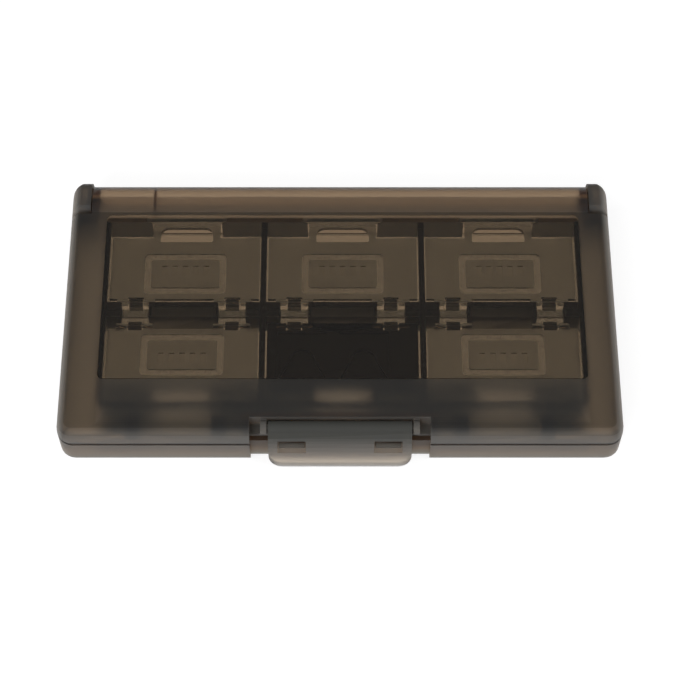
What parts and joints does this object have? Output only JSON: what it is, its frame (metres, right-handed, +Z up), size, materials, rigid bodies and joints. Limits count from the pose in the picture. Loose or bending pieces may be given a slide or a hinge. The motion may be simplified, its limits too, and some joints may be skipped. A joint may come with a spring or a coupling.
{
  "type": "memory card case",
  "caption": "Slim smoke-tinted hinged case for memory cards, with a tray of wells under flip-up flaps, a black holder for small cards and a swinging front latch.",
  "frame": {"origin": "middle of the bounding box's underside, where the closed case stands", "axes": "+X across the case's width to the right as seen from the latch, +Y from the latch to the hinge, +Z up"},
  "size_m": [0.126, 0.0694, 0.0125],
  "materials": {
    "frosted_smoke": "smoke-tinted translucent plastic, lightly frosted outside",
    "clear_smoke": "smoke-tinted clear plastic, polished",
    "black": "opaque black plastic, satin"
  },
  "bodies": {
    "base": {"base_shell": "frosted_smoke", "card_tray": "clear_smoke", "hinge_pin_left": "frosted_smoke", "hinge_pin_right": "frosted_smoke"},
    "lid": {"lid_shell": "frosted_smoke"},
    "latch": {"latch": "frosted_smoke"},
    "flap_rear_left": {"flap_rear_left": "clear_smoke"},
    "flap_rear_middle": {"flap_rear_middle": "clear_smoke"},
    "flap_rear_right": {"flap_rear_right": "clear_smoke"},
    "flap_front_left": {"flap_front_left": "clear_smoke"},
    "flap_front_right": {"flap_front_right": "clear_smoke"},
    "small_card_holder": {"small_card_holder": "black"}
  },
  "joints": [
    {"name": "lid_hinge", "type": "hinge", "parent": "base", "child": "lid", "pos_m": [0, 0.02993, 0.00815], "axis": [-1, 0, 0], "range_deg": [0, 180]},
    {"name": "latch_hinge", "type": "hinge", "parent": "lid", "child": "latch", "pos_m": [0, -0.02952, 0.01045], "axis": [-1, 0, 0], "range_deg": [0, 70]},
    {"name": "flap_rear_left_hinge", "type": "hinge", "parent": "base", "child": "flap_rear_left", "pos_m": [-0.0359, 0.00373, 0.0066], "axis": [1, 0, 0], "range_deg": [0, 81]},
    {"name": "flap_rear_middle_hinge", "type": "hinge", "parent": "base", "child": "flap_rear_middle", "pos_m": [0.0006, 0.00373, 0.0066], "axis": [1, 0, 0], "range_deg": [0, 81]},
    {"name": "flap_rear_right_hinge", "type": "hinge", "parent": "base", "child": "flap_rear_right", "pos_m": [0.0371, 0.00373, 0.0066], "axis": [1, 0, 0], "range_deg": [0, 81]},
    {"name": "flap_front_left_hinge", "type": "hinge", "parent": "base", "child": "flap_front_left", "pos_m": [-0.0359, -0.00248, 0.0066], "axis": [-1, 0, 0], "range_deg": [0, 81]},
    {"name": "small_card_holder_hinge", "type": "hinge", "parent": "base", "child": "small_card_holder", "pos_m": [0.0006, -0.00248, 0.0066], "axis": [-1, 0, 0], "range_deg": [0, 81]},
    {"name": "flap_front_right_hinge", "type": "hinge", "parent": "base", "child": "flap_front_right", "pos_m": [0.0371, -0.00248, 0.0066], "axis": [-1, 0, 0], "range_deg": [0, 81]}
  ],
  "couplings": [
    {"joint": "flap_rear_left_hinge", "follows": "lid_hinge", "ratio": 0.45},
    {"joint": "flap_rear_middle_hinge", "follows": "lid_hinge", "ratio": 0.45},
    {"joint": "flap_rear_right_hinge", "follows": "lid_hinge", "ratio": 0.45},
    {"joint": "flap_front_left_hinge", "follows": "lid_hinge", "ratio": 0.45},
    {"joint": "small_card_holder_hinge", "follows": "lid_hinge", "ratio": 0.45},
    {"joint": "flap_front_right_hinge", "follows": "lid_hinge", "ratio": 0.45}
  ]
}
